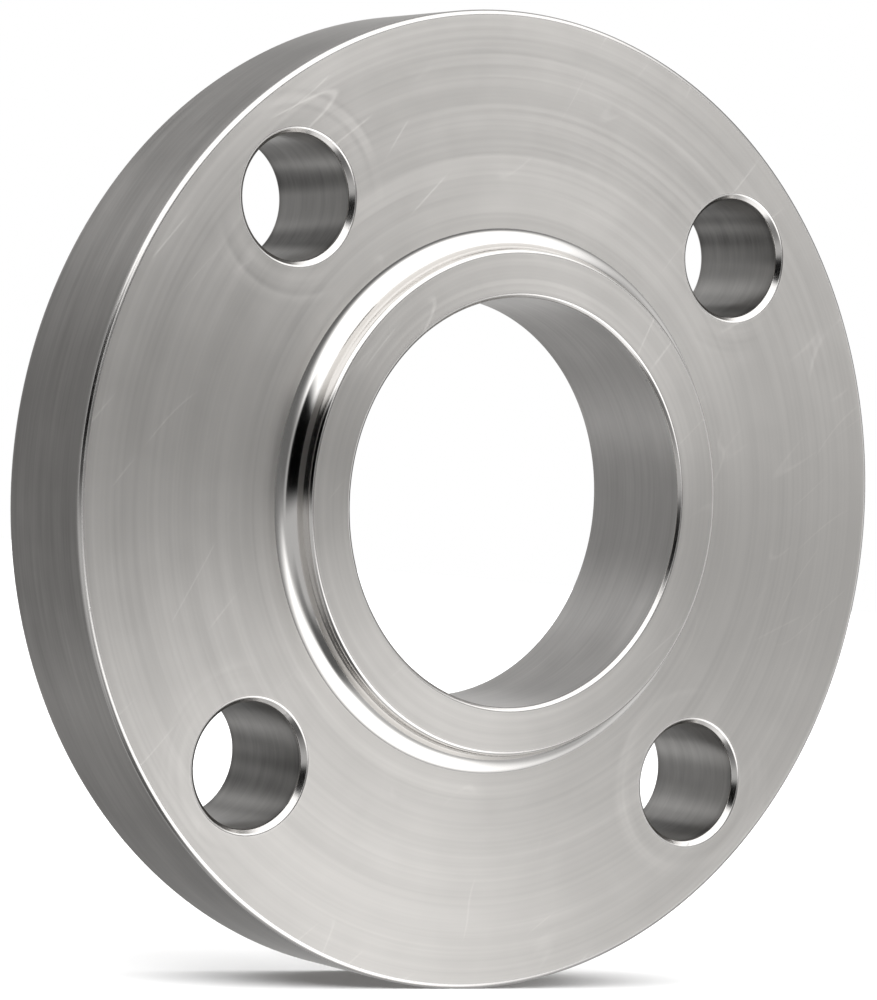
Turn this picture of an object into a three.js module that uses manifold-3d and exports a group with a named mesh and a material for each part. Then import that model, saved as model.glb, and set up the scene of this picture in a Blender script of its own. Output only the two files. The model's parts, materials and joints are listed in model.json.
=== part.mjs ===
// Lap-joint pipe flange, nominal pipe size 2 inch, pressure class 150, one stainless steel forging.
//
// Units are millimetres. The bore runs along Y. The gasket face lies in the plane y = 0 and looks
// along +Y, and the short hub stands out of the other face, along -Y. Z is up. The four bolt holes
// straddle the two centre lines, so they sit at 45 degrees to X and Z.

import * as THREE from 'three';
import { mergeVertices, toCreasedNormals } from 'three/addons/utils/BufferGeometryUtils.js';
import Module from 'manifold-3d';

// Rim
const RIM_DIAMETER = 152.4;
const RIM_THICKNESS = 20.6;
const RIM_EDGE_BREAK = 0.6;

// Hub
const LENGTH_THROUGH_HUB = 25.4;
const HUB_DIAMETER = 78.5;
const HUB_EDGE_BREAK = 0.4;
const HUB_FILLET_RADIUS = 3.2;

// Bore
const BORE_DIAMETER = 63.5;
const BORE_HUB_END_CHAMFER = 0.5;
const BORE_GASKET_END_CHAMFER = 3.3;

// Bolt holes
const BOLT_CIRCLE_DIAMETER = 120.65;
const BOLT_HOLE_DIAMETER = 19.1;
const BOLT_HOLE_COUNT = 4;
const BOLT_HOLE_CHAMFER = 0.8;
const CUTTER_OVERRUN = 1.0;

// Facets
const RING_SEGMENTS = 96;
const HOLE_SEGMENTS = 40;
const FILLET_STEPS = 6;
const CREASE_ANGLE = Math.PI / 9;

const STAINLESS_STEEL = new THREE.MeshStandardMaterial({
  color: 0xb9b6b1,
  roughness: 0.3,
  metalness: 1.0,
});

// Points on an arc in the plane of a lathe profile, where x is the radius and y the height.
function arcPoints(centreX, centreY, radius, startAngle, endAngle, steps) {
  const points = [];
  for (let i = 0; i <= steps; i += 1) {
    const angle = startAngle + ((endAngle - startAngle) * i) / steps;
    const x = centreX + radius * Math.cos(angle);
    const y = centreY + radius * Math.sin(angle);
    points.push(new THREE.Vector2(x, y));
  }
  return points;
}

// Section of the ring, from the bore's hub end outward, up the rim and back down the bore.
function ringProfile() {
  const rimRadius = RIM_DIAMETER / 2;
  const boreRadius = BORE_DIAMETER / 2;
  const hubRadius = HUB_DIAMETER / 2;
  const hubEnd = -LENGTH_THROUGH_HUB;
  const nutFace = -RIM_THICKNESS;

  const filletCentreX = hubRadius + HUB_FILLET_RADIUS;
  const filletCentreY = nutFace - HUB_FILLET_RADIUS;
  const fillet = arcPoints(filletCentreX, filletCentreY, HUB_FILLET_RADIUS, Math.PI, Math.PI / 2, FILLET_STEPS);

  const profile = [
    new THREE.Vector2(boreRadius, hubEnd + BORE_HUB_END_CHAMFER),
    new THREE.Vector2(boreRadius + BORE_HUB_END_CHAMFER, hubEnd),
    new THREE.Vector2(hubRadius - HUB_EDGE_BREAK, hubEnd),
    new THREE.Vector2(hubRadius, hubEnd + HUB_EDGE_BREAK),
    ...fillet,
    new THREE.Vector2(rimRadius - RIM_EDGE_BREAK, nutFace),
    new THREE.Vector2(rimRadius, nutFace + RIM_EDGE_BREAK),
    new THREE.Vector2(rimRadius, -RIM_EDGE_BREAK),
    new THREE.Vector2(rimRadius - RIM_EDGE_BREAK, 0),
    new THREE.Vector2(boreRadius + BORE_GASKET_END_CHAMFER, 0),
    new THREE.Vector2(boreRadius, -BORE_GASKET_END_CHAMFER),
  ];
  profile.push(profile[0].clone());
  return profile;
}

// Solid that a chamfered bolt hole removes. Its flared ends pass beyond both faces.
function boltHoleCutterProfile() {
  const radius = BOLT_HOLE_DIAMETER / 2;
  const flaredRadius = radius + BOLT_HOLE_CHAMFER + CUTTER_OVERRUN;
  const lowEnd = -RIM_THICKNESS - CUTTER_OVERRUN;
  const highEnd = CUTTER_OVERRUN;
  return [
    new THREE.Vector2(0, lowEnd),
    new THREE.Vector2(flaredRadius, lowEnd),
    new THREE.Vector2(radius, -RIM_THICKNESS + BOLT_HOLE_CHAMFER),
    new THREE.Vector2(radius, -BOLT_HOLE_CHAMFER),
    new THREE.Vector2(flaredRadius, highEnd),
    new THREE.Vector2(0, highEnd),
  ];
}

const manifold = await Module();
manifold.setup();

function toSolid(geometry) {
  const bare = geometry.clone();
  bare.deleteAttribute('normal');
  bare.deleteAttribute('uv');
  const merged = mergeVertices(bare, 1e-5);
  const mesh = new manifold.Mesh({
    numProp: 3,
    vertProperties: new Float32Array(merged.attributes.position.array),
    triVerts: new Uint32Array(merged.index.array),
  });
  return new manifold.Manifold(mesh);
}

function toGeometry(solid) {
  const mesh = solid.getMesh();
  const geometry = new THREE.BufferGeometry();
  geometry.setAttribute('position', new THREE.BufferAttribute(mesh.vertProperties, 3));
  geometry.setIndex(new THREE.BufferAttribute(mesh.triVerts, 1));
  return toCreasedNormals(geometry, CREASE_ANGLE);
}

function makeFlange() {
  let body = toSolid(new THREE.LatheGeometry(ringProfile(), RING_SEGMENTS));
  const cutterGeometry = new THREE.LatheGeometry(boltHoleCutterProfile(), HOLE_SEGMENTS);
  for (let i = 0; i < BOLT_HOLE_COUNT; i += 1) {
    const angle = ((i + 0.5) * 2 * Math.PI) / BOLT_HOLE_COUNT;
    const x = (BOLT_CIRCLE_DIAMETER / 2) * Math.cos(angle);
    const z = (BOLT_CIRCLE_DIAMETER / 2) * Math.sin(angle);
    body = body.subtract(toSolid(cutterGeometry.clone().translate(x, 0, z)));
  }
  const mesh = new THREE.Mesh(toGeometry(body), STAINLESS_STEEL);
  mesh.name = 'flange';
  return mesh;
}

const flangeAssembly = new THREE.Group();
flangeAssembly.add(makeFlange());

export default flangeAssembly;
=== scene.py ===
"""The looks of a lap-joint pipe flange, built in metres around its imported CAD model.

The CAD ring is replaced by one finely divided mesh of the same size, whose corners are rounded
as a file or a deburring wheel leaves them, and whose shading is exact on every round surface.
The bore runs along Y, the hub points along -Y and Z is up.
"""

import json
import math

import bmesh
import bpy
from mathutils import Euler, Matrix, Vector


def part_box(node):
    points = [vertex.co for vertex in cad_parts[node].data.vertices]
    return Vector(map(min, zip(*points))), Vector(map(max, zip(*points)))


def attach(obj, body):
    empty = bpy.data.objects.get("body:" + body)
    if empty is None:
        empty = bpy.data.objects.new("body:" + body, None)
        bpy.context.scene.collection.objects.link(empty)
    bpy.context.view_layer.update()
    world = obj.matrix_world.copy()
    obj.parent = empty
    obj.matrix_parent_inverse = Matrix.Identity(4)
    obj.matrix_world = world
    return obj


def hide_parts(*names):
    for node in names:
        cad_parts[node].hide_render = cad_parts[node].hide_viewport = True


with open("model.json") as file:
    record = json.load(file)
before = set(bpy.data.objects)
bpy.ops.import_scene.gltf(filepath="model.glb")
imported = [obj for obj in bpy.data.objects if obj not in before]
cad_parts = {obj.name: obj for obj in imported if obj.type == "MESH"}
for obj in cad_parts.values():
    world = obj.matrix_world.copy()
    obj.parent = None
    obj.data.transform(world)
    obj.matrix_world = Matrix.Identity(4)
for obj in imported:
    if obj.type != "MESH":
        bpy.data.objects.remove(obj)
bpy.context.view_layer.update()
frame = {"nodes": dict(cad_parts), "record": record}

MM = 0.001
NODE = "flange"
BODY = "root"

# Divisions of the mesh. The rings of a face crowd towards its bolt holes, and each outline runs a
# little way onto the flat face beside it.
RING_SEGMENTS = 256
BOLT_HOLES = 4
SIDE_SEGMENTS = 24
FACE_RINGS = 14
CORNER_STEPS = 5
FILLET_STEPS = 20
SIDE_CROWDING = 1.25
FLAT_MARGIN = 0.6 * MM

# Radii that round off the corners of the CAD ring. The rim's corner is one arc, in place of the
# CAD ring's chamfer; the others keep their chamfer and have its two edges rounded.
RIM_CORNER = 0.80 * MM
HUB_CORNER = 0.55 * MM
BORE_CORNER = 0.50 * MM
HOLE_CORNER = 0.50 * MM
LAP_CORNER = 0.50 * MM

# Camera, aimed near the middle of the nut face; its angles are in degrees
CAMERA_AZIMUTH = -36.0
CAMERA_ELEVATION = -0.2
CAMERA_ROLL = 4.9
CAMERA_DISTANCE = 610.0 * MM
CAMERA_LENS_MM = 141.0
CAMERA_SENSOR_MM = 36.0
CAMERA_NEAR = 0.01
CAMERA_FAR = 50.0
AIM_OFFSET = Vector((-8.0, 5.8, -0.6)) * MM

# Half the side of the floor, and the radius of the backdrop round it, in metres
STAGE_REACH = 4.0


# ---------------------------------------------------------------- sizes, read from the CAD ring


def measure_ring():
    """The ring's sizes in metres, read from the corners of the CAD mesh."""
    corners = [vertex.co for vertex in frame["nodes"][NODE].data.vertices]
    mounts = {mount["name"]: mount for mount in frame["record"]["mounts"]}
    nut_y = mounts["nut_face"]["pos_m"][1]
    bolt_circle = mounts["nut_face"]["pos_m"][2]
    hole_x = bolt_circle * math.sqrt(0.5)
    low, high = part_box(NODE)
    near = 0.01 * MM

    def radii(low_y, high_y):
        inside = [c for c in corners if low_y - near <= c.y <= high_y + near]
        return sorted(math.hypot(c.x, c.z) for c in inside)

    def hole_radii(low_y, high_y):
        inside = [c for c in corners if low_y - near <= c.y <= high_y + near]
        return sorted(math.hypot(c.x - hole_x, c.z - hole_x) for c in inside)

    hub_end = radii(low.y, low.y)
    nut_face = radii(nut_y, nut_y)
    lap_face = radii(high.y, high.y)
    bore_r = radii(low.y, high.y)[0]
    hub_r = min(r for r in radii(low.y + 0.1 * MM, nut_y - 0.1 * MM) if r > hub_end[-1])
    bolt_r = hole_radii(low.y, high.y)[0]
    return {
        "hub_y": low.y,
        "nut_y": nut_y,
        "lap_y": high.y,
        "rim_r": high.x,
        "rim_break": high.x - nut_face[-1],
        "hub_r": hub_r,
        "hub_break": hub_r - hub_end[-1],
        "fillet": nut_face[0] - hub_r,
        "bore_r": bore_r,
        "bore_hub_chamfer": hub_end[0] - bore_r,
        "bore_lap_chamfer": lap_face[0] - bore_r,
        "bolt_circle": bolt_circle,
        "bolt_r": bolt_r,
        "bolt_chamfer": hole_radii(nut_y, nut_y)[0] - bolt_r,
    }


# ---------------------------------------------------------------- mesh


def rounded_outline(corners):
    """Points and outward normals along an open outline of (radius, y, rounding, steps).

    Each inner corner becomes an arc that meets both its sides smoothly. The steel lies on the
    left of the outline as it runs, so its normals point to the right.
    """
    places = [Vector(corner[:2]) for corner in corners]
    first = (places[1] - places[0]).normalized()
    last = (places[-1] - places[-2]).normalized()
    outline = [(places[0], Vector((first.y, -first.x)))]
    for i in range(1, len(corners) - 1):
        rounding, steps = corners[i][2:]
        coming = (places[i] - places[i - 1]).normalized()
        going = (places[i + 1] - places[i]).normalized()
        turn = math.atan2(coming.cross(going), coming.dot(going))
        side = math.copysign(1.0, turn)
        normal = Vector((coming.y, -coming.x))
        start = places[i] - coming * rounding * math.tan(abs(turn) / 2)
        centre = start - normal * rounding * side
        for k in range(steps + 1):
            c, s = math.cos(turn * k / steps), math.sin(turn * k / steps)
            turned = Vector((normal.x * c - normal.y * s, normal.x * s + normal.y * c))
            outline.append((centre + turned * rounding * side, turned))
    outline.append((places[-1], Vector((last.y, -last.x))))
    return outline


class MeshMaker:
    """Gathers vertices with their exact normals, and faces with their finish."""

    def __init__(self):
        self.points = []
        self.normals = []
        self.faces = []
        self.finishes = []
        self.grooves = []

    def vertex(self, point, normal):
        self.points.append(point)
        self.normals.append(normal)
        return len(self.points) - 1

    def face(self, corners, finish, grooves):
        self.faces.append(corners)
        self.finishes.append(finish)
        self.grooves.append(grooves)

    def lathe(self, outline, finishes, segments, centre=(0.0, 0.0), first_angle=0.0):
        """Turns an outline about an axis along Y and returns the indices of its loops."""
        loops = []
        for place, normal in outline:
            loop = []
            for k in range(segments):
                angle = first_angle + math.tau * k / segments
                c, s = math.cos(angle), math.sin(angle)
                point = (centre[0] + place.x * c, place.y, centre[1] + place.x * s)
                loop.append(self.vertex(point, (normal.x * c, normal.y, normal.x * s)))
            loops.append(loop)
        run = 0.0
        for j in range(len(loops) - 1):
            step = (outline[j + 1][0] - outline[j][0]).length
            for k in range(segments):
                after = (k + 1) % segments
                u0, u1 = k / segments, (k + 1) / segments
                corners = (loops[j][k], loops[j + 1][k], loops[j + 1][after], loops[j][after])
                grooves = ((u0, run), (u0, run + step), (u1, run + step), (u1, run))
                self.face(corners, finishes[j], grooves)
            run += step
        return loops

    def drilled_face(self, outer, inner, holes, y, normal, finish):
        """Fills a flat ring round its bolt holes, between an outer and an inner loop."""
        quarter = RING_SEGMENTS // BOLT_HOLES
        sides = []
        for s in range(BOLT_HOLES):
            a = Vector(self.points[outer[s * quarter]])
            b = Vector(self.points[inner[s * quarter]])
            shares = [k / SIDE_SEGMENTS for k in range(1, SIDE_SEGMENTS)]
            sides.append([self.vertex(a.lerp(b, share), normal) for share in shares])
        for s, hole in enumerate(holes):
            low, high = s * quarter, (s + 1) * quarter
            across = [k % RING_SEGMENTS for k in range(low, high + 1)]
            edge = [outer[k] for k in across]
            edge += sides[(s + 1) % BOLT_HOLES]
            edge += [inner[k] for k in reversed(across)]
            edge += reversed(sides[s])
            loops = [hole]
            for j in range(1, FACE_RINGS):
                share = (j / FACE_RINGS) ** SIDE_CROWDING
                loop = []
                for h, e in zip(hole, edge):
                    point = Vector(self.points[h]).lerp(Vector(self.points[e]), share)
                    loop.append(self.vertex(tuple(point), normal))
                loops.append(loop)
            loops.append(edge)
            for near, far in zip(loops, loops[1:]):
                for k in range(len(near)):
                    after = (k + 1) % len(near)
                    corners = (near[k], far[k], far[after], near[after])
                    if normal[1] > 0:
                        corners = corners[::-1]
                    self.face(corners, finish, ((0.0, 0.0),) * 4)

    def build(self, name, materials):
        mesh = bpy.data.meshes.new(name)
        mesh.from_pydata([tuple(p) for p in self.points], [], self.faces)
        names = list(materials)
        for material in materials.values():
            mesh.materials.append(material)
        mesh.polygons.foreach_set("material_index", [names.index(f) for f in self.finishes])
        mesh.polygons.foreach_set("use_smooth", [True] * len(self.faces))
        layer = mesh.uv_layers.new(name="grooves")
        layer.data.foreach_set("uv", [x for four in self.grooves for uv in four for x in uv])
        mesh.update()
        mesh.normals_split_custom_set_from_vertices([tuple(n) for n in self.normals])
        piece = bpy.data.objects.new(name, mesh)
        bpy.context.scene.collection.objects.link(piece)
        return piece


def outline_finishes(outline, zones):
    """The finish of each step of an outline: zones are (test of the step's middle, finish)."""
    finishes = []
    for (a, na), (b, nb) in zip(outline, outline[1:]):
        middle = (a + b) / 2
        normal = (na + nb).normalized()
        finishes.append(next(finish for test, finish in zones if test(middle, normal)))
    return finishes


def make_flange(size, materials):
    """The whole ring, as one closed mesh."""
    maker = MeshMaker()
    rim_in = size["rim_r"] - RIM_CORNER
    bore_in = size["bore_r"] + size["bore_hub_chamfer"]
    bore_out = size["bore_r"] + size["bore_lap_chamfer"]
    hub_in = size["hub_r"] - size["hub_break"]

    rim = rounded_outline(
        [
            (rim_in - FLAT_MARGIN, size["nut_y"]),
            (size["rim_r"], size["nut_y"], RIM_CORNER, 2 * CORNER_STEPS),
            (size["rim_r"], size["lap_y"], RIM_CORNER, 2 * CORNER_STEPS),
            (rim_in - FLAT_MARGIN, size["lap_y"]),
        ]
    )
    inside = rounded_outline(
        [
            (bore_out + FLAT_MARGIN, size["lap_y"]),
            (bore_out, size["lap_y"], LAP_CORNER, CORNER_STEPS),
            (size["bore_r"], size["lap_y"] - size["bore_lap_chamfer"], LAP_CORNER, CORNER_STEPS),
            (size["bore_r"], size["hub_y"] + size["bore_hub_chamfer"], BORE_CORNER, CORNER_STEPS),
            (bore_in, size["hub_y"], BORE_CORNER, CORNER_STEPS),
            (hub_in, size["hub_y"], HUB_CORNER, CORNER_STEPS),
            (size["hub_r"], size["hub_y"] + size["hub_break"], HUB_CORNER, CORNER_STEPS),
            (size["hub_r"], size["nut_y"], size["fillet"], FILLET_STEPS),
            (size["hub_r"] + size["fillet"] + FLAT_MARGIN, size["nut_y"]),
        ]
    )
    hole_mouth = size["bolt_r"] + size["bolt_chamfer"]
    hole = rounded_outline(
        [
            (hole_mouth + FLAT_MARGIN, size["lap_y"]),
            (hole_mouth, size["lap_y"], HOLE_CORNER, CORNER_STEPS),
            (size["bolt_r"], size["lap_y"] - size["bolt_chamfer"], HOLE_CORNER, CORNER_STEPS),
            (size["bolt_r"], size["nut_y"] + size["bolt_chamfer"], HOLE_CORNER, CORNER_STEPS),
            (hole_mouth, size["nut_y"], HOLE_CORNER, CORNER_STEPS),
            (hole_mouth + FLAT_MARGIN, size["nut_y"]),
        ]
    )

    def flat(middle, normal):
        return abs(normal.y) > 0.9999

    def round_wall(middle, normal):
        return abs(normal.x) > 0.9999

    def in_bore(middle, normal):
        return round_wall(middle, normal) and normal.x < 0

    def anywhere(middle, normal):
        return True

    def on_hub(middle, normal):
        return middle.x > hub_in

    rim_finishes = outline_finishes(
        rim, [(flat, "face"), (round_wall, "rim"), (anywhere, "edge")]
    )
    inside_finishes = outline_finishes(
        inside, [(flat, "face"), (in_bore, "bore"), (on_hub, "hub"), (anywhere, "chamfer")]
    )
    hole_finishes = outline_finishes(
        hole, [(flat, "face"), (round_wall, "hole"), (anywhere, "chamfer")]
    )

    rim_loops = maker.lathe(rim, rim_finishes, RING_SEGMENTS)
    inside_loops = maker.lathe(inside, inside_finishes, RING_SEGMENTS)

    quarter = RING_SEGMENTS // BOLT_HOLES
    hole_segments = 2 * (quarter + SIDE_SEGMENTS)
    nut_holes, lap_holes = [], []
    for s in range(BOLT_HOLES):
        angle = math.tau * (s + 0.5) / BOLT_HOLES
        centre = (size["bolt_circle"] * math.cos(angle), size["bolt_circle"] * math.sin(angle))
        first_angle = angle - math.tau * (quarter / 2) / hole_segments
        loops = maker.lathe(hole, hole_finishes, hole_segments, centre, first_angle)
        lap_holes.append(loops[0])
        nut_holes.append(loops[-1])
    maker.drilled_face(
        rim_loops[0], inside_loops[-1], nut_holes, size["nut_y"], (0.0, -1.0, 0.0), "face"
    )
    maker.drilled_face(
        rim_loops[-1], inside_loops[0], lap_holes, size["lap_y"], (0.0, 1.0, 0.0), "face"
    )
    return maker.build("flange_ring", materials)


# ---------------------------------------------------------------- shader nodes


class Nodes:
    """Shorthand for adding and joining the nodes of one shader."""

    def __init__(self, tree):
        self.tree = tree

    def add(self, kind, **settings):
        node = self.tree.nodes.new(kind)
        for key, value in settings.items():
            setattr(node, key, value)
        return node

    def join(self, given, socket):
        """Sets a socket to a number or a vector, or links another node's output to it."""
        if isinstance(given, bpy.types.NodeSocket):
            self.tree.links.new(given, socket)
        else:
            socket.default_value = given

    def math(self, operation, *values):
        node = self.add("ShaderNodeMath", operation=operation)
        for given, socket in zip(values, node.inputs):
            self.join(given, socket)
        return node.outputs[0]

    def combine(self, x, y, z):
        node = self.add("ShaderNodeCombineXYZ")
        for given, socket in zip((x, y, z), node.inputs):
            self.join(given, socket)
        return node.outputs[0]

    def smooth(self, value, low, high):
        """0 where the value is at low, 1 where it is at high, with soft ends."""
        node = self.add("ShaderNodeMapRange", interpolation_type="SMOOTHSTEP", clamp=True)
        self.join(value, node.inputs["Value"])
        self.join(low, node.inputs["From Min"])
        self.join(high, node.inputs["From Max"])
        return node.outputs["Result"]

    def near(self, value, target, reach):
        """1 where the value is at its target, and 0 from a reach away."""
        gap = self.math("ABSOLUTE", self.math("SUBTRACT", value, target))
        return self.smooth(gap, reach, 0.0)


# ---------------------------------------------------------------- materials


class Steel(Nodes):
    """One bare steel finish, built up in layers of how it was cut and how it has worn.

    A layer may change the tone (0 is the darkest steel, 1 the lightest), the roughness, which
    stays above the smoothest, and the height of the surface in metres. Lengths are in metres.
    """

    def __init__(self, name, darkest, lightest, roughness, smoothest, anisotropy):
        self.material = bpy.data.materials.new(name)
        self.material.use_nodes = True
        super().__init__(self.material.node_tree)
        self.shader = self.tree.nodes["Principled BSDF"]
        self.shader.inputs["Metallic"].default_value = 1.0
        self.shader.inputs["Anisotropic"].default_value = anisotropy
        self.shader.inputs["Anisotropic Rotation"].default_value = 0.25
        self.darkest = darkest
        self.lightest = lightest
        self.tone = 0.5
        self.roughness = roughness
        self.smoothest = smoothest
        self.height = 0.0
        self.place = self.add("ShaderNodeTexCoord").outputs["Object"]
        split = self.add("ShaderNodeSeparateXYZ")
        self.join(self.place, split.inputs[0])
        self.x, self.y, self.z = split.outputs
        self.ring_r = self.length(self.x, self.z)

    def length(self, x, z):
        square = self.math("MULTIPLY_ADD", z, z, self.math("MULTIPLY", x, x))
        return self.math("SQRT", square)

    def hole_distance(self, size):
        """Distance from the axis of the nearest bolt hole."""
        offset = size["bolt_circle"] * math.sqrt(0.5)
        x = self.math("SUBTRACT", self.math("ABSOLUTE", self.x), offset)
        z = self.math("SUBTRACT", self.math("ABSOLUTE", self.z), offset)
        return self.length(x, z)

    def noise(self, vector, detail, distortion=0.0):
        node = self.add("ShaderNodeTexNoise")
        self.join(vector, node.inputs["Vector"])
        self.join(1.0, node.inputs["Scale"])
        self.join(detail, node.inputs["Detail"])
        self.join(distortion, node.inputs["Distortion"])
        return node.outputs["Fac"]

    def cloud(self, width, detail=2.0):
        """Soft patches of a given width, the same in every direction."""
        node = self.add("ShaderNodeVectorMath", operation="SCALE")
        self.join(self.place, node.inputs[0])
        self.join(1.0 / width, node.inputs["Scale"])
        return self.noise(node.outputs[0], detail, 0.3)

    def grooves(self, across, pitch, run, detail=2.0):
        """Tool marks that change over a pitch across them, and over a long run along them."""
        vector = self.combine(
            self.math("DIVIDE", across, pitch),
            self.math("DIVIDE", self.x, run),
            self.math("DIVIDE", self.z, run),
        )
        return self.noise(vector, detail)

    def scratches(self, heading, spacing, run, share):
        """Fine nearly straight lines in the XZ plane, broken up into a share of their run."""
        c, s = math.cos(math.radians(heading)), math.sin(math.radians(heading))
        along = self.math("MULTIPLY_ADD", self.z, s, self.math("MULTIPLY", self.x, c))
        across = self.math("MULTIPLY_ADD", self.z, c, self.math("MULTIPLY", self.x, -s))
        vector = self.combine(
            self.math("DIVIDE", along, run), self.math("DIVIDE", across, spacing), heading
        )
        line = self.near(self.noise(vector, 0.0), 0.5, 0.012)
        patches = self.smooth(self.cloud(run * 0.4, 1.0), 0.62 - share * 0.3, 0.72 - share * 0.3)
        return self.math("MULTIPLY", line, patches)

    def pits(self, spacing, radius):
        """Small round marks, in about a quarter of the cells of a grid of a given spacing."""
        node = self.add("ShaderNodeTexVoronoi")
        self.join(self.place, node.inputs["Vector"])
        self.join(1.0 / spacing, node.inputs["Scale"])
        split = self.add("ShaderNodeSeparateColor")
        self.join(node.outputs["Color"], split.inputs[0])
        chosen = self.smooth(split.outputs[0], 0.72, 0.78)
        reach = self.math("MULTIPLY", split.outputs[1], radius / spacing)
        dot = self.smooth(node.outputs["Distance"], reach, 0.0)
        return self.math("MULTIPLY", dot, chosen)

    def layer(self, value, middle=0.5, tone=0.0, rough=0.0, height=0.0):
        """Adds a layer, which changes nothing where its value is at the middle."""
        change = self.math("SUBTRACT", value, middle)
        if tone:
            self.tone = self.math("MULTIPLY_ADD", change, tone, self.tone)
        if rough:
            self.roughness = self.math("MULTIPLY_ADD", change, rough, self.roughness)
        if height:
            self.height = self.math("MULTIPLY_ADD", change, height, self.height)

    def finish(self, tangent):
        colour = self.add("ShaderNodeMix", data_type="RGBA")
        self.join(self.tone, colour.inputs["Factor"])
        colour.inputs["A"].default_value = (*self.darkest, 1.0)
        colour.inputs["B"].default_value = (*self.lightest, 1.0)
        self.join(colour.outputs["Result"], self.shader.inputs["Base Color"])
        rough = self.math("MINIMUM", self.math("MAXIMUM", self.roughness, self.smoothest), 0.8)
        self.join(rough, self.shader.inputs["Roughness"])
        bump = self.add("ShaderNodeBump")
        bump.inputs["Distance"].default_value = 1.0
        self.join(self.height, bump.inputs["Height"])
        self.join(bump.outputs["Normal"], self.shader.inputs["Normal"])
        self.join(tangent.outputs["Tangent"], self.shader.inputs["Tangent"])
        return self.material

    def ring_tangent(self):
        return self.add("ShaderNodeTangent", direction_type="RADIAL", axis="Y")

    def hole_tangent(self):
        return self.add("ShaderNodeTangent", direction_type="UV_MAP", uv_map="grooves")


def turned_face(size):
    """The flat faces: faced on a lathe, with fine rings, handling scratches and worn borders."""
    steel = Steel("turned_face", (0.54, 0.525, 0.505), (0.85, 0.825, 0.795), 0.32, 0.28, 0.8)
    r = steel.ring_r
    steel.layer(steel.cloud(45.0 * MM), tone=0.26, rough=0.06)
    steel.layer(steel.cloud(7.0 * MM), tone=0.16, rough=0.03)
    steel.layer(steel.grooves(r, 4.0 * MM, 120.0 * MM), tone=0.36, rough=0.06)
    steel.layer(steel.grooves(r, 0.7 * MM, 70.0 * MM), tone=0.36, rough=0.06, height=2.5e-6)

    # rings left round the bolt holes by the spot drill and by washers
    hole_r = steel.hole_distance(size)
    border = steel.near(hole_r, size["bolt_r"] * 1.45, size["bolt_r"] * 0.42)
    patch = steel.math("MULTIPLY", border, steel.smooth(steel.cloud(24.0 * MM, 1.0), 0.42, 0.62))
    rings = steel.grooves(hole_r, 1.8 * MM, 60.0 * MM, 1.0)
    swing = steel.math("MULTIPLY", steel.math("SUBTRACT", rings, 0.5), patch)
    steel.layer(swing, 0.0, tone=1.1, rough=0.12, height=4e-6)

    for heading, run in ((40.0, 60.0), (52.0, 36.0)):
        scratch = steel.scratches(heading, 9.0 * MM, run * MM, 0.2)
        steel.layer(scratch, 0.0, tone=0.16, rough=0.06, height=-2e-6)
    steel.layer(steel.pits(7.0 * MM, 0.4 * MM), 0.0, tone=-0.7, rough=0.2, height=-1e-5)

    # borders polished by handling
    worn = steel.smooth(r, size["rim_r"] - size["rim_break"] - 1.0 * MM, size["rim_r"])
    mouth = size["bolt_r"] + size["bolt_chamfer"]
    worn = steel.math("MAXIMUM", worn, steel.near(hole_r, mouth, 0.8 * MM))
    worn = steel.math("MAXIMUM", worn, steel.near(r, size["hub_r"] - size["hub_break"], 0.6 * MM))
    worn = steel.math("MULTIPLY", worn, steel.smooth(steel.cloud(5.0 * MM), 0.2, 0.6))
    steel.layer(worn, 0.0, tone=0.40, rough=-0.05)
    return steel.finish(steel.ring_tangent())


def turned_wall(name, darkest, lightest, ends, pitch):
    """A turned cylinder round the Y axis, brighter along its two ends where it is worn."""
    steel = Steel(name, darkest, lightest, 0.33, 0.28, 0.75)
    steel.layer(steel.cloud(30.0 * MM), tone=0.50, rough=0.08)
    steel.layer(steel.cloud(6.0 * MM), tone=0.20, rough=0.04)
    steel.layer(steel.grooves(steel.y, 6.0 * pitch, 40.0 * MM), tone=0.45, rough=0.06)
    steel.layer(steel.grooves(steel.y, pitch, 16.0 * MM), tone=0.45, rough=0.08, height=2e-6)
    steel.layer(steel.pits(6.0 * MM, 0.4 * MM), 0.0, tone=-0.6, rough=0.2, height=-1e-5)
    low, high = (steel.near(steel.y, end, 0.7 * MM) for end in ends)
    worn = steel.math("MULTIPLY", steel.math("MAXIMUM", low, high), steel.cloud(4.0 * MM))
    steel.layer(worn, 0.0, tone=0.5, rough=-0.05)
    return steel.finish(steel.ring_tangent())


def polished_hub():
    """The hub's wall and fillet: polished, with the faint rings of the form tool."""
    steel = Steel("polished_hub", (0.58, 0.57, 0.555), (0.90, 0.88, 0.86), 0.11, 0.05, 0.3)
    across = steel.math("SUBTRACT", steel.ring_r, steel.y)
    steel.layer(steel.cloud(14.0 * MM), tone=0.25, rough=0.03)
    steel.layer(steel.grooves(across, 0.9 * MM, 34.0 * MM), tone=0.30, rough=0.05, height=1.5e-6)
    steel.layer(steel.pits(6.0 * MM, 0.3 * MM), 0.0, tone=-0.5, rough=0.2, height=-5e-6)
    return steel.finish(steel.ring_tangent())


def broken_edge(name, roughness):
    """A chamfer or a rounded corner: bright, and nicked here and there."""
    steel = Steel(name, (0.54, 0.527, 0.513), (0.88, 0.86, 0.84), roughness, 0.05, 0.0)
    steel.layer(steel.cloud(8.0 * MM), tone=0.4, rough=0.10)
    nick = steel.smooth(steel.cloud(1.8 * MM), 0.68, 0.78)
    steel.layer(nick, 0.0, tone=-0.4, rough=0.10, height=-6e-6)
    return steel.finish(steel.ring_tangent())


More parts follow.
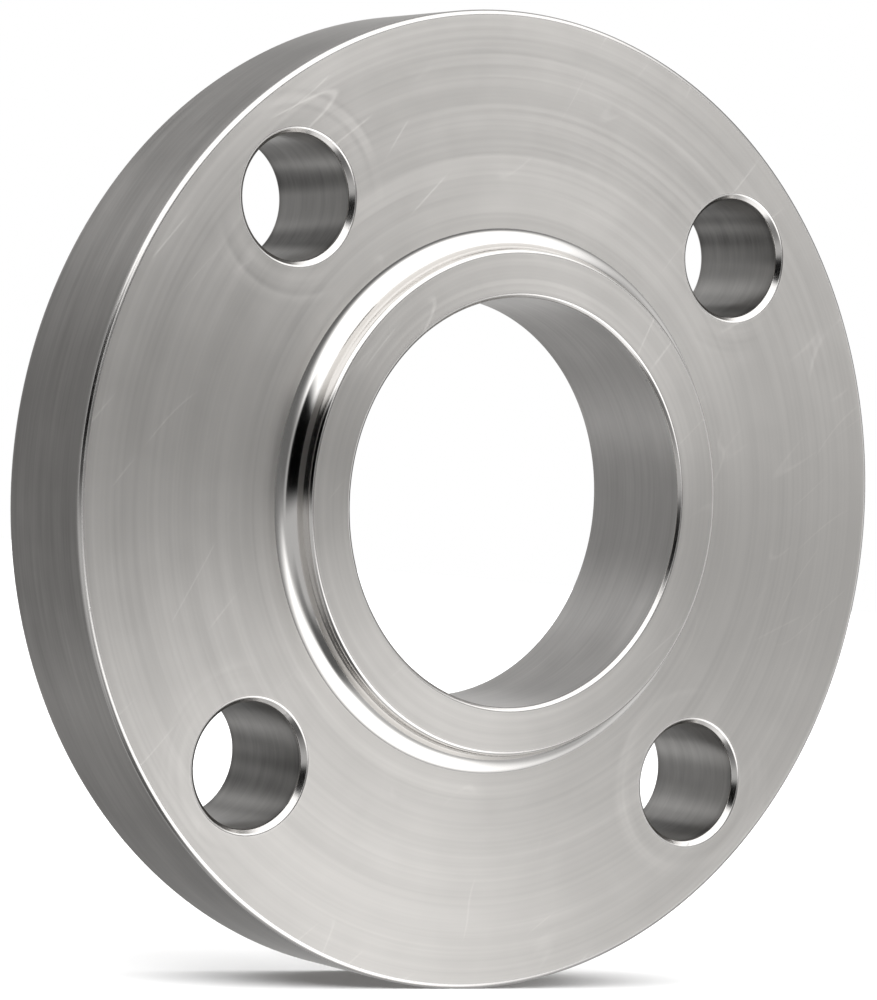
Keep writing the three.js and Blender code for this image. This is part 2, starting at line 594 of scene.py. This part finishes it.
def drilled_hole(size):
    """The bolt holes: darker, as painted shade in the recess, with faint rings from the drill and
    streaks along its way out.
    """
    steel = Steel("drilled_hole", (0.20, 0.195, 0.19), (0.70, 0.685, 0.665), 0.32, 0.28, 0.5)
    streaks = steel.smooth(steel.grooves(steel.y, 80.0 * MM, 6.0 * MM, 1.0), 0.34, 0.66)
    steel.layer(streaks, tone=0.75, rough=-0.10)
    steel.layer(steel.grooves(steel.y, 1.4 * MM, 8.0 * MM), tone=0.35, rough=0.08, height=4e-6)
    steel.layer(steel.grooves(steel.y, 0.5 * MM, 6.0 * MM), tone=0.25, rough=0.08, height=2e-6)
    # painted shade: a darker band on the wall just inside each mouth of the hole
    low, high = (
        steel.near(steel.y, end, 1.6 * MM)
        for end in (size["nut_y"] + size["bolt_chamfer"], size["lap_y"] - size["bolt_chamfer"])
    )
    steel.layer(steel.math("MAXIMUM", low, high), 0.0, tone=-0.25)
    return steel.finish(steel.hole_tangent())


def make_materials(size):
    """One material for each finish that make_flange names."""
    rim_ends = (size["nut_y"] + size["rim_break"], size["lap_y"] - size["rim_break"])
    bore_ends = (
        size["hub_y"] + size["bore_hub_chamfer"],
        size["lap_y"] - size["bore_lap_chamfer"],
    )
    # The rim's tints are the turned steel darkened, as painted shade for the dark surroundings
    # that the rim mirrors.
    rim_tints_with_painted_shade = (0.32, 0.31, 0.30), (0.68, 0.66, 0.64)
    # The bore's tints are the turned steel made a little lighter, as painted light.
    bore_tints_with_painted_light = (0.54, 0.525, 0.51), (0.90, 0.88, 0.86)
    return {
        "face": turned_face(size),
        "rim": turned_wall("turned_rim", *rim_tints_with_painted_shade, rim_ends, 0.5 * MM),
        "bore": turned_wall("turned_bore", *bore_tints_with_painted_light, bore_ends, 0.6 * MM),
        "hub": polished_hub(),
        "edge": broken_edge("filed_edge", 0.20),
        "chamfer": broken_edge("cut_chamfer", 0.18),
        "hole": drilled_hole(size),
    }


# ---------------------------------------------------------------- stage, light and camera


def make_stage(size):
    """A pale floor under the ring and a plain white backdrop, neither seen in the steel."""
    floor_mesh = bpy.data.meshes.new("floor")
    far, z = STAGE_REACH, -size["rim_r"]
    corners = [(-far, -far, z), (far, -far, z), (far, far, z), (-far, far, z)]
    floor_mesh.from_pydata(corners, [], [(0, 1, 2, 3)])
    floor = bpy.data.objects.new("floor", floor_mesh)
    bpy.context.scene.collection.objects.link(floor)
    material = bpy.data.materials.new("pale_floor")
    material.use_nodes = True
    shader = material.node_tree.nodes["Principled BSDF"]
    shader.inputs["Base Color"].default_value = (0.9, 0.9, 0.9, 1.0)
    shader.inputs["Roughness"].default_value = 0.8
    floor_mesh.materials.append(material)
    floor.visible_glossy = False

    dome = bpy.data.meshes.new("backdrop")
    shell = bmesh.new()
    bmesh.ops.create_uvsphere(shell, u_segments=64, v_segments=32, radius=STAGE_REACH)
    shell.to_mesh(dome)
    shell.free()
    backdrop = bpy.data.objects.new("backdrop", dome)
    bpy.context.scene.collection.objects.link(backdrop)
    material = bpy.data.materials.new("white_backdrop")
    material.use_nodes = True
    tree = material.node_tree
    tree.nodes.clear()
    glow = tree.nodes.new("ShaderNodeEmission")
    output = tree.nodes.new("ShaderNodeOutputMaterial")
    tree.links.new(glow.outputs[0], output.inputs["Surface"])
    dome.materials.append(material)
    backdrop.visible_glossy = False
    backdrop.visible_diffuse = False
    backdrop.visible_transmission = False
    backdrop.visible_shadow = False


def direction(azimuth, elevation):
    """Unit vector at an azimuth, from -Y towards +X, and an elevation, both in degrees."""
    a, e = math.radians(azimuth), math.radians(elevation)
    return Vector((math.sin(a) * math.cos(e), -math.cos(a) * math.cos(e), math.sin(e)))


class TentShader(Nodes):
    """The light tent as a world shader: a base brightness and soft cards at set directions."""

    def __init__(self, brightness):
        world = bpy.data.worlds.new("light_tent")
        bpy.context.scene.world = world
        world.use_nodes = True
        super().__init__(world.node_tree)
        self.tree.nodes.clear()
        self.way = self.add("ShaderNodeTexCoord").outputs["Generated"]
        self.value = brightness

    def dot(self, vector):
        node = self.add("ShaderNodeVectorMath", operation="DOT_PRODUCT")
        self.join(self.way, node.inputs[0])
        self.join(vector, node.inputs[1])
        return node.outputs["Value"]

    def card(self, azimuth, elevation, half_width, half_height, soft, brightness):
        """Blends the tent towards a brightness inside a soft-edged rectangle, in degrees.

        Later cards lie over earlier ones.
        """
        ahead = direction(azimuth, elevation)
        side = direction(azimuth + 90.0, 0.0)
        up = side.cross(ahead)
        if up.z < 0:
            up = -up
        forward = self.dot(ahead)
        across = self.math("ARCTAN2", self.dot(side), forward)
        lift = self.math("ARCTAN2", self.dot(up), forward)
        mask = self.smooth(forward, 0.0, 0.05)
        for angle, half in ((across, half_width), (lift, half_height)):
            outer = math.radians(half + soft)
            inner = math.radians(half - soft)
            inside = self.smooth(self.math("ABSOLUTE", angle), outer, inner)
            mask = self.math("MULTIPLY", mask, inside)
        change = self.math("SUBTRACT", brightness, self.value)
        self.value = self.math("MULTIPLY_ADD", change, mask, self.value)

    def finish(self):
        background = self.add("ShaderNodeBackground")
        output = self.add("ShaderNodeOutputWorld")
        self.join(self.value, background.inputs["Strength"])
        self.join(background.outputs[0], output.inputs["Surface"])


def make_light():
    """The tent, which the steel mirrors, and a broad sun that lights the floor."""
    tent = TentShader(0.7)
    # rear wall, with darker parts on its left, in its corners and on the right side wall, and a
    # bright backdrop between them
    tent.card(180.0, 0.0, 95.0, 85.0, 10.0, 0.55)
    tent.card(-144.0, 0.0, 25.0, 25.0, 10.0, 0.30)
    tent.card(168.0, 36.0, 18.0, 10.0, 8.0, 0.35)
    tent.card(168.0, -36.0, 18.0, 10.0, 8.0, 0.30)
    tent.card(152.0, 0.0, 16.0, 22.0, 8.0, 0.95)
    tent.card(96.0, 0.0, 20.0, 38.0, 8.0, 0.40)
    tent.card(118.0, 5.0, 13.0, 24.0, 6.0, 0.08)
    tent.card(135.0, 0.0, 11.0, 11.0, 5.0, 0.15)
    # overhead softbox with a brighter middle, and the bright table in front
    tent.card(-10.0, 60.0, 55.0, 40.0, 8.0, 2.0)
    tent.card(0.0, 36.0, 22.0, 14.0, 8.0, 2.3)
    tent.card(15.0, -40.0, 30.0, 30.0, 10.0, 2.2)
    # front wall, which the nut face mirrors: dark in its middle, bright on its right
    tent.card(10.0, 5.0, 30.0, 10.0, 8.0, 0.2)
    tent.card(60.0, 0.0, 15.0, 15.0, 10.0, 1.1)
    # camera's side: the dark front of the table, the dark floor beside it, and a dark opening
    tent.card(-45.0, -46.0, 12.0, 20.0, 8.0, 0.35)
    tent.card(-90.0, -62.0, 34.0, 14.0, 8.0, 0.15)
    tent.card(-62.0, 12.0, 34.0, 18.0, 5.0, 0.0)
    tent.finish()

    fill_data = bpy.data.lights.new("floor_fill", "SUN")
    fill_data.angle = math.radians(120.0)
    fill_data.energy = 3.0
    fill = bpy.data.objects.new("floor_fill", fill_data)
    fill.visible_glossy = False
    bpy.context.scene.collection.objects.link(fill)


def make_camera(size):
    """A long lens in front and to the left of the ring, at the height of its axis."""
    camera_data = bpy.data.cameras.new("camera")
    camera_data.lens = CAMERA_LENS_MM
    camera_data.sensor_width = CAMERA_SENSOR_MM
    camera_data.clip_start = CAMERA_NEAR
    camera_data.clip_end = CAMERA_FAR
    camera = bpy.data.objects.new("camera", camera_data)
    bpy.context.scene.collection.objects.link(camera)
    aim = Vector((0.0, size["nut_y"], 0.0)) + AIM_OFFSET
    back = direction(CAMERA_AZIMUTH, CAMERA_ELEVATION)
    camera.location = aim + back * CAMERA_DISTANCE
    facing = (-back).to_track_quat("-Z", "Y")
    roll = Euler((0.0, 0.0, math.radians(CAMERA_ROLL))).to_quaternion()
    camera.rotation_euler = (facing @ roll).to_euler()
    bpy.context.scene.camera = camera


size = measure_ring()
make_camera(size)
make_stage(size)
make_light()
bpy.context.scene.view_settings.view_transform = "Standard"

flange = make_flange(size, make_materials(size))
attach(flange, BODY)
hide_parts(NODE)
